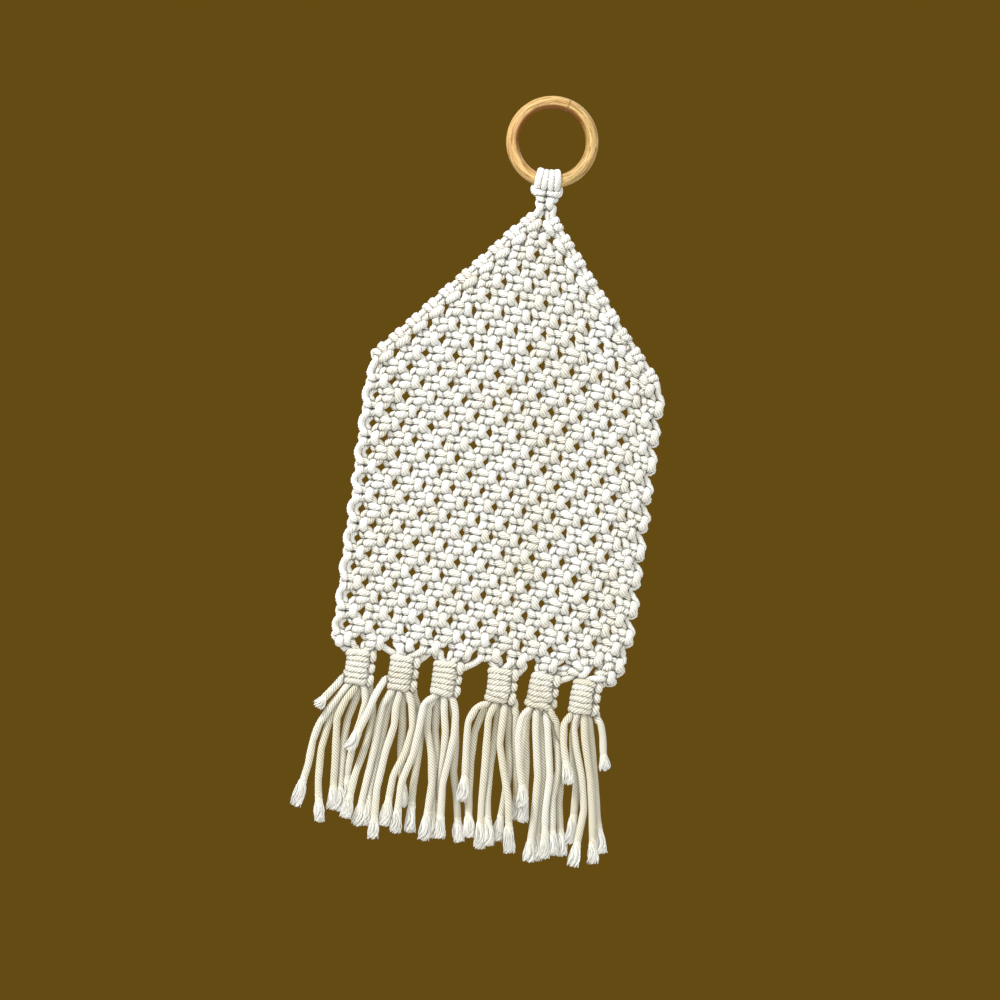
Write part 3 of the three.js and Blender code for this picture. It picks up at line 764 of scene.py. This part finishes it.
def makeCotton(look):
    # ridges from the section, fine yarns along them, short fibres as stretched noise, a slow drift to cream
    material, tree, shader = newMaterial("cottonCord")
    uv, u, v = uvParts(tree)
    inPlace = addNode(tree, "ShaderNodeTexCoord").outputs["Object"]
    ridge = calc(tree, "COSINE", calc(tree, "MULTIPLY", u, 2 * pi * look["ridges"]))
    fibre = noise(tree, calcVector(tree, "MULTIPLY", uv, look["fibres"]), 1.0, 3.0, .6)
    hairs = noise(tree, calcVector(tree, "MULTIPLY", uv, look["hairs"]), 1.0, 2.0, .6)
    wobble = calc(tree, "MULTIPLY", fibre, look["yarnWobble"])
    yarns = calc(tree, "SINE", calc(tree, "MULTIPLY_ADD", u, 2 * pi * look["yarns"], wobble))
    # between white and cream
    tone = addNode(tree, "ShaderNodeAttribute", attribute_name="tone").outputs["Fac"]
    drift = noise(tree, inPlace, look["driftScale"], 2.0)
    drift = calc(tree, "MULTIPLY_ADD", drift, look["drift"], -look["drift"] / 2)
    colour = blendColour(tree, clamp(tree, calc(tree, "ADD", tone, drift)), look["white"], look["cream"])
    # painted shade in the grooves between ridges, most of all on creamy cord; the yarns and hairs add the
    # cord's own darker fibre streaks
    valley = calc(tree, "POWER", calc(tree, "MULTIPLY_ADD", ridge, -.5, .5), 3.0)
    broken = calc(tree, "MULTIPLY_ADD", hairs, -look["valleyHairs"], look["valleyDark"])
    hairy = calc(tree, "MULTIPLY_ADD", hairs, -look["hairDark"], look["hairLight"])
    sunk = calc(tree, "ADD", calc(tree, "MULTIPLY", valley, broken), hairy)
    sunk = calc(tree, "MULTIPLY_ADD", yarns, -look["yarnDark"], sunk)
    strength = calc(tree, "MULTIPLY_ADD", tone, look["grooveCream"], look["grooveLeast"])
    sunk = calc(tree, "MULTIPLY", sunk, strength)
    colour = blendColour(tree, clamp(tree, sunk), colour, look["grooveShade"])
    flecks = ramp(tree, noise(tree, inPlace, look["fleckScale"], 1.0), *look["fleckRange"])
    colour = paint(tree, flecks, look["fleckStrength"], look["fleck"], colour)
    # painted shade: the near-black crease colour where cords touch and at the back of a tassel
    deep = addNode(tree, "ShaderNodeAttribute", attribute_name="creaseShade").outputs["Fac"]
    colour = paint(tree, calc(tree, "POWER", deep, 2.0), look["creaseStrength"], look["creaseShade"], colour)
    height = calc(tree, "MULTIPLY", fibre, look["fibreHeight"])
    height = calc(tree, "MULTIPLY_ADD", ridge, look["ridgeHeight"], height)
    height = calc(tree, "ADD", height, calc(tree, "MULTIPLY", hairs, look["hairHeight"]))
    height = calc(tree, "MULTIPLY_ADD", yarns, look["yarnHeight"], height)
    finishSurface(tree, shader, colour, height, look)
    shader.inputs["Sheen Weight"].default_value = look["sheen"]
    shader.inputs["Sheen Roughness"].default_value = look["sheenRoughness"]
    return material


cotton = makeCotton(cottonLook)

woodLook = {
    "light": (0.51, 0.35, 0.122, 1), "warm": (0.68, 0.38, 0.145, 1), "line": (0.23, 0.11, 0.022, 1),
    # inner, with its range and strength below, is painted shade on the inside of the ring's top
    "pale": (0.72, 0.53, 0.24, 1), "inner": (0.20, 0.062, 0.0, 1),
    "pores": (14, 30.0), "bands": (4.6, 13.0),         # how fine, round the section and along the ring
    "paleFrom": (.49, .38), "paleStrength": .75, "deepFrom": (.51, .62), "deepStrength": .80,
    "poreFrom": (.50, .68), "poreStrength": .5, "innerShadeFrom": (-.36, -.62), "innerShadeStrength": (.25, .95),
    "seam": 0.2065, "seamSlant": .004, "seamWidth": (.0034, .0014), "seamStrength": .85,    # in turns
    "roughness": 0.5, "specular": .35, "bump": 0.00012, "bumpStrength": .5,
}


def makeWood(look):
    # grain as noise stretched round the ring, darker pores, a warmer left side, a thin glued joint
    material, tree, shader = newMaterial("ringWood")
    uv, u, v = uvParts(tree)
    turn = calc(tree, "MULTIPLY", v, 2 * pi)
    outward = calc(tree, "COSINE", turn)
    circle = joinXyz(tree, outward, calc(tree, "SINE", turn))

    def grainPlace(fine, long):
        # round the section as a circle, so that the grain meets itself, and along the ring
        lengthways = joinXyz(tree, z=calc(tree, "MULTIPLY", u, long))
        return calcVector(tree, "ADD", calcVector(tree, "MULTIPLY", circle, (fine, fine, 0)), lengthways)

    shifted = calcVector(tree, "ADD", circle, joinXyz(tree, calc(tree, "MULTIPLY", u, 5.0)))
    grain = noise(tree, shifted, 3.2, 5.0, .62, .4)
    pores = noise(tree, grainPlace(*look["pores"]), 1.6, 4.0, .7)
    bands = noise(tree, grainPlace(*look["bands"]), 1.0, 3.0, .65)
    inPlace = addNode(tree, "ShaderNodeTexCoord").outputs["Object"]
    cloud = noise(tree, inPlace, 22.0, 2.0)
    leftSide = ramp(tree, addNode(tree, "ShaderNodeSeparateXYZ", {0: inPlace}).outputs[0], .02, -.04)
    warmth = calc(tree, "MULTIPLY_ADD", leftSide, .45, calc(tree, "MULTIPLY_ADD", cloud, .8, -.25))
    warmth = calc(tree, "MULTIPLY_ADD", grain, .7, calc(tree, "ADD", warmth, -.35))
    colour = blendColour(tree, clamp(tree, warmth), look["light"], look["warm"])
    colour = paint(tree, ramp(tree, bands, *look["paleFrom"]), look["paleStrength"], look["pale"], colour)
    colour = paint(tree, ramp(tree, bands, *look["deepFrom"]), look["deepStrength"], look["line"], colour)
    colour = paint(tree, ramp(tree, pores, *look["poreFrom"]), look["poreStrength"], look["line"], colour)
    # painted shade: a darker band inside the ring, strongest at its top left, where the inner face looks down
    innerShadeShare = calc(tree, "COSINE", calc(tree, "MULTIPLY_ADD", u, 2 * pi, -2.0))
    innerShadeShare = ramp(tree, innerShadeShare, -.25, .35, *look["innerShadeStrength"])
    colour = paint(tree, ramp(tree, outward, *look["innerShadeFrom"]), innerShadeShare, look["inner"], colour)
    slanted = calc(tree, "MULTIPLY_ADD", calc(tree, "SINE", turn), look["seamSlant"], u)
    fromSeam = calc(tree, "ABSOLUTE", calc(tree, "SUBTRACT", slanted, look["seam"]))
    seam = ramp(tree, fromSeam, *look["seamWidth"])
    colour = paint(tree, seam, look["seamStrength"], look["line"], colour)
    height = calc(tree, "MULTIPLY_ADD", pores, -.5, calc(tree, "MULTIPLY", seam, -1.0))
    finishSurface(tree, shader, colour, height, look)
    return material


wood = makeWood(woodLook)
print("materials ready")

# ---- frayed ends ----
fray = {
    "yarns": 64, "sides": 3, "steps": 8, "yarnRadius": 0.00045, "tipRadius": 0.00036, "tipThin": .6,
    "length": 0.026, "share": .36, "lengthRange": (.75, 1.05),     # longest brush, share of a short cord
    "waist": .86, "open": (1.75, 2.15),    # how wide a brush is at its root and its tip, in cord radii
    "openVary": .1, "untwist": .8, "stray": .15, "sizes": (.75, 1.25),     # from yarn to yarn
    "fan": .3, "fanTurn": 2.4,             # a brush may be flatter one way
    "limit": 0.0045,                       # farthest a yarn stands from the middle line
    "uneven": 0.003,                       # spread of the yarns' ends
    "goldenAngle": 2.39996,                # from yarn to yarn
    "tone": .75, "toneRange": (-1.0, -.2), "toneLess": .35,    # at the root, and the change towards the tips
    "dark": .45, "darkShare": .15, "innerDark": .1,            # painted shade in the crease colour: some yarns at random, and those in the middle
}


def frayReach(length):
    # a short cord frays less
    return np.minimum(fray["length"], fray["share"] * length)


def frayedEnd(line, seed):
    # yarns stand in the section at even area, follow the line's end, and spread and untwist towards their tips
    draw = np.random.default_rng(seed)
    count, steps, sides = fray["yarns"], fray["steps"], fray["sides"]
    along, first, second = lineFrames(line)
    length = lengthAlong(line)
    reach = frayReach(length[-1]) * draw.uniform(*fray["lengthRange"])
    stop = length[-1] + draw.uniform(-1, .1, count)[:, None] * fray["uneven"]
    t = np.linspace(0, 1, steps)[None, :]
    at = (length[-1] - reach) * (1 - t) + stop * t
    beyond = np.maximum(at - length[-1], 0)[..., None]
    middle, sideA, sideB = [np.stack([np.interp(at, length, side[:, axis]) for axis in range(3)], -1)
                            for side in (line, first, second)]
    middle = middle + beyond * along[-1]
    number = np.arange(count)[:, None]
    rho = np.sqrt((number + .5) / count)
    fan = 1 + draw.uniform(0, fray["fan"]) * np.cos(2 * (number * fray["fanTurn"] - draw.uniform(0, pi)))
    opening = draw.uniform(*fray["open"]) * fan * (1 + fray["openVary"] * draw.normal(0, 1, (count, 1)))
    spread = hangRadius * rho * (fray["waist"] + (opening - fray["waist"]) * t ** 1.1)
    spread = np.minimum(spread, fray["limit"])
    turn = 2 * pi * (at - at[:, :1]) / cord["lay"] * (1 - fray["untwist"] * t)
    phi = number * fray["goldenAngle"] - turn + draw.normal(0, fray["stray"], (count, 1)) * t
    lines = middle + spread[..., None] * around(phi, sideA, sideB)
    tangent = unit(np.gradient(lines, axis=1))
    yarnA = unit(np.cross(tangent, sideA + .3 * sideB))
    yarnB = np.cross(tangent, yarnA)
    size = (fray["yarnRadius"] * (1 - t) + fray["tipRadius"] * t) * draw.uniform(*fray["sizes"], (count, 1))
    size[:, -1] *= fray["tipThin"]
    corner = around(2 * pi * np.arange(sides) / sides, yarnA[:, :, None], yarnB[:, :, None])
    corners = lines[:, :, None] + size[:, :, None, None] * corner
    v = np.broadcast_to((at / (2 * pi * panelRadius))[..., None], (count, steps, sides))
    u = np.broadcast_to(draw.uniform(-.02, .02, (count, 1, 1)), (count, steps, sides))
    faces = wallFaces(steps, sides)[None] + (np.arange(count) * steps * sides)[:, None, None]
    faces = faces.reshape(-1, 4)
    # painted shade: yarns in the middle of a brush darker, and some yarns darker at random, through the crease
    # shade
    dark = (1 - rho) * fray["innerDark"] + fray["dark"] * (draw.uniform(0, 1, (count, 1)) < fray["darkShare"])
    tone = fray["tone"] + (draw.uniform(*fray["toneRange"], (count, 1)) - fray["toneLess"]) * t ** .6
    uv = np.stack([u, v], -1).reshape(-1, 2)[faces.ravel()]
    return {"corners": corners.reshape(-1, 3), "faces": faces, "uv": uv,
            "tone": np.repeat(tone.ravel(), sides), "creaseShade": np.repeat(dark, steps * sides)}


# ---- pieces cut from the cords ----
pieces = {}       # part number: list of runs of tube
hangPaths = {}    # part number: middle line
core = {"blur": 6, "end": .002, "share": .75, "freeLeast": .02, "thin": .40}     # a cord thins in its brush
shade = {"cords": (.0, .36), "along": .12, "every": 40, "back": .25, "backDepth": .004}     # how creamy it is; back is painted shade, creamier and so darker at the back of a tassel
# painted shade in the creases where cords touch, and on cords at the back of a tassel
creaseShade = {"reach": 0.0072, "neighbours": 5, "outer": 1.38, "inner": 1.02, "hangOuter": 1.75, "back": .4}


def makeSections(number, points, part):
    # radius and flattening of each kind of part, blurred along the cord; at a tip the radius falls as a
    # square root
    line, nearest = smoothLine(points, cord["step"])
    tags = part[nearest]
    kind = kindOf(tags)
    blur = np.ones(2 * core["blur"] + 1) / (2 * core["blur"] + 1)
    radius, squash = [np.convolve(np.pad(value[kind], core["blur"], mode="edge"), blur, "valid")
                      for value in (kindRadius, 1 + cord["shownSquash"] * (kindSquash - 1))]
    count = np.arange(len(line))
    remaining = np.minimum(count, count[::-1]) * cord["step"]
    knotted = np.flatnonzero(tags < partHang)
    free = np.where(count < len(line) / 2, knotted[0], len(line) - 1 - knotted[-1]) * cord["step"]
    brush = core["share"] * frayReach(np.maximum(free, core["freeLeast"]))
    taper = np.clip((remaining - core["end"]) / (brush - core["end"]), 0, 1)
    radius = radius * (core["thin"] + (1 - core["thin"]) * np.sqrt(taper))
    corners, length = cordSections(line, radius, squash, seeds["thickThin"] + number)
    back = (tags >= partHang) * np.clip(line[:, 1] / shade["backDepth"], 0, 1)     # 1 at the back of a tassel, where painted shade goes
    drift = shade["along"] * wander(len(line), shade["every"], seeds["tone"] + number)
    # painted shade: cords at the back of a tassel turn creamier, so darker
    tone = toneOf[number] + drift + kindTone[kind] + shade["back"] * back
    return {"line": line, "tags": tags, "corners": corners, "length": length, "tone": tone, "back": back}


def addCreaseShade(sections):
    # painted shade in the creases between cords: 1 where a corner touches another cord's surface, 0 from the
    # outer number of radii off its middle line;
    # cords at the back of a tassel get at least their own share of this painted shade
    line = np.concatenate([s["line"] for s in sections])
    corners = np.concatenate([s["corners"] for s in sections])
    strand = np.repeat(np.arange(len(sections)), [len(s["line"]) for s in sections])
    order = np.concatenate([np.arange(len(s["line"])) for s in sections])
    i, j = nearPairs(line, strand, order, creaseShade["reach"], creaseShade["neighbours"])
    i, j = np.concatenate([i, j]), np.concatenate([j, i])
    sortOrder = np.argsort(i, kind="stable")
    i, j = i[sortOrder], j[sortOrder]
    owner, starts = np.unique(i, return_index=True)
    back = np.concatenate([s["back"] for s in sections])
    # painted shade at the back of a tassel, at least this much
    depth = np.repeat(creaseShade["back"] * back[:, None], corners.shape[1], 1)
    tags = np.concatenate([s["tags"] for s in sections])[owner]
    outer = np.where(tags >= partHang, creaseShade["hangOuter"], creaseShade["outer"])
    for side in range(corners.shape[1]):
        away = np.linalg.norm(corners[i, side] - line[j], axis=1)
        nearest = np.minimum.reduceat(away, starts) / panelRadius
        shut = np.clip((outer - nearest) / (outer - creaseShade["inner"]), 0, 1)
        depth[owner, side] = np.maximum(depth[owner, side], shut)
    for s, part in zip(sections, np.split(depth, np.cumsum([len(s["line"]) for s in sections])[:-1])):
        s["creaseShade"] = part


def cutPieces(section):
    # a run of sections for each part, one longer at a border, where it is thinner to lie inside the next run
    line, tags = section["line"], section["tags"]
    borders = np.flatnonzero(np.diff(tags)) + 1
    for start, stop in zip(np.concatenate([[0], borders]), np.concatenate([borders, [len(line)]])):
        low, high = max(start - 1, 0), min(stop + 1, len(line))
        run = section["corners"][low:high].copy()
        for border, at in ((start > 0, 0), (stop < len(line), -1)):
            if border:
                run[at] = line[low:high][at] + (run[at] - line[low:high][at]) * cord["borderThin"]
        pieces.setdefault(tags[start], []).append({
            "corners": run.reshape(-1, 3), "faces": tubeFaces(len(run), cord["sides"]),
            "uv": tubeUv(section["length"][low:high], cord["sides"]),
            "tone": np.repeat(section["tone"][low:high], cord["sides"]),
            "creaseShade": section["creaseShade"][low:high].ravel()})
        if tags[start] >= partHang:
            hangPaths[tags[start]] = line[start:stop] if stop == len(line) else line[start:stop][::-1]


toneOf = rng.uniform(*shade["cords"], len(strands))
sections = [makeSections(number, points, part) for number, (points, part) in enumerate(strands)]
addCreaseShade(sections)
for section in sections:
    cutPieces(section)
for part, path in hangPaths.items():
    pieces[part].append(frayedEnd(path, seeds["fray"] + int(part)))
print("cord length:", round(sum(s["length"][-1] for s in sections), 2), "m")


def finishPiece(made, replaced):
    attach(made, "root")
    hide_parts(replaced)
    return made


def cordPiece(name, part, replaced):
    # all runs of a part in one mesh
    start = np.cumsum([0] + [len(run["corners"]) for run in pieces[part]])
    corners, uv, tone, dark = [np.concatenate([run[key] for run in pieces[part]])
                               for key in ("corners", "uv", "tone", "creaseShade")]
    faces = np.concatenate([run["faces"] + first for run, first in zip(pieces[part], start)])
    made = meshObject(name, corners, faces, uv, {"tone": tone, "creaseShade": dark}, cotton)
    return finishPiece(made, replaced)


hanging = [(group, index) for group in range(gatherCount) for index in range(gatherStrands)
           if tasselCords[group][index]]
for group, index in hanging:
    part = partHang + group * gatherStrands + index
    made = cordPiece("tassel_%d_cord_%d" % (group + 1, index + 1), part, "tassel_%d" % (group + 1))
    path = hangPaths[part]
print("hanging cords:", len(hanging))

for index, side in enumerate(("left", "right")):
    cordPiece("ring_hitch_%s" % side, partRing + index, "ring_hitch_%s" % side)
    cordPiece("edge_hitches_%s" % side, partSlope + index, "edge_cord_%s" % side)
cordPiece("crown_square_knot", partCrown, "crown_knot")
for band in range(panelBands):
    cordPiece("net_rows_%d" % (band + 1), partPanel + band, "net_panel")
for group in range(gatherCount):
    cordPiece("gather_knots_%d" % (group + 1), partGather + group, "gather_%d" % (group + 1))
print("knots and net ready")


# ---- the wooden ring ----
def makeRing(shape):
    # circle carried round a circle: u round the ring from the right, v round its section from the outside
    size = shape["around"], shape["section"]
    u, v = [places / count for places, count in zip(np.indices(size), size)]
    uneven = shape["flat"] * np.cos(4 * pi * v) + shape["uneven"] * np.sin(2 * pi * (u * 3 + v))
    tube = shape["tube"] * (1 + uneven)
    out = shape["middle"] + tube * np.cos(2 * pi * v)
    corners = np.stack([out * np.cos(2 * pi * u), -tube * np.sin(2 * pi * v),
                        shape["centre"] + out * np.sin(2 * pi * u)], -1)
    faces = (wallFaces(size[0] + 1, size[1]) % u.size)[:, [0, 3, 2, 1]]     # to face outwards
    uv = cornerUv(u, v, u + 1 / size[0], v + 1 / size[1])
    made = meshObject("wooden_ring", corners.reshape(-1, 3), faces, uv, {}, wood)
    return finishPiece(made, "ring")


makeRing(ringShape)
print("ring ready")

# ---- floor, light and background ----
room = {
    "floorZ": -0.95, "floorRadius": 1.1, "floorCorners": 64,
    "floorColour": (0.62, 0.60, 0.56, 1), "floorRough": .9,
    "background": (0.127, 0.0705, 0.0070, 1), "fill": (0.28, 0.81), "fillColour": (0.95, 0.97, 1.0, 1),
}


def makeRoom(settings):
    # a disc below, and a world that lights more from above and shows a flat colour behind the piece
    floorMaterial, tree, shader = newMaterial("floorPaint")
    shader.inputs["Base Color"].default_value = settings["floorColour"]
    shader.inputs["Roughness"].default_value = settings["floorRough"]
    count, radius = settings["floorCorners"], settings["floorRadius"]
    angle = np.linspace(0, 2 * pi, count, endpoint=False)
    height = np.full(count, settings["floorZ"])
    corners = np.stack([radius * np.cos(angle), radius * np.sin(angle), height], -1)
    mesh = bpy.data.meshes.new("floorDisc")
    mesh.from_pydata(corners.tolist(), [], [list(range(count))])
    mesh.materials.append(floorMaterial)
    addObject("floorDisc", mesh)
    world = bpy.data.worlds.new("studio")
    world.use_nodes = True
    tree = world.node_tree
    tree.nodes.clear()
    path = addNode(tree, "ShaderNodeLightPath")
    seen = calc(tree, "MAXIMUM", path.outputs["Is Camera Ray"], path.outputs["Is Glossy Ray"])
    seen = calc(tree, "MAXIMUM", seen, path.outputs["Is Transmission Ray"])
    direction = addNode(tree, "ShaderNodeTexCoord").outputs["Generated"]
    upward = addNode(tree, "ShaderNodeSeparateXYZ", {0: direction}).outputs[2]
    strength = ramp(tree, upward, -1.0, 1.0, *settings["fill"])
    lit = addNode(tree, "ShaderNodeBackground", {"Color": settings["fillColour"], "Strength": strength})
    shown = addNode(tree, "ShaderNodeBackground", {"Color": settings["background"], "Strength": 1.0})
    mix = addNode(tree, "ShaderNodeMixShader", {0: seen, 1: lit.outputs[0], 2: shown.outputs[0]})
    addNode(tree, "ShaderNodeOutputWorld", {0: mix.outputs[0]})
    bpy.context.scene.world = world


lamps = {    # place, size, power and colour
    "keyLamp": ((-1.3, -1.2, 1.25), .4, 54.5, (1.0, .98, .94)),
    "frontLamp": ((.5, -2.2, -.1), 1.5, 23.8, (1.0, .99, .97)),
    "backLamp": ((.7, 1.6, 1.2), 1.2, 10, (1.0, .98, .96)),
}
lampAim = (0, 0, -.28)


def makeLamp(name, place, size, power, colour):
    data = bpy.data.lights.new(name, "AREA")
    data.size, data.energy, data.color = size, power, colour
    lamp = addObject(name, data)
    lamp.location = place
    lamp.rotation_euler = (Vector(lampAim) - Vector(place)).to_track_quat("-Z", "Y").to_euler()


makeRoom(room)
for name, settings in lamps.items():
    makeLamp(name, *settings)
bpy.context.scene.view_settings.view_transform = "Standard"
print("room ready")
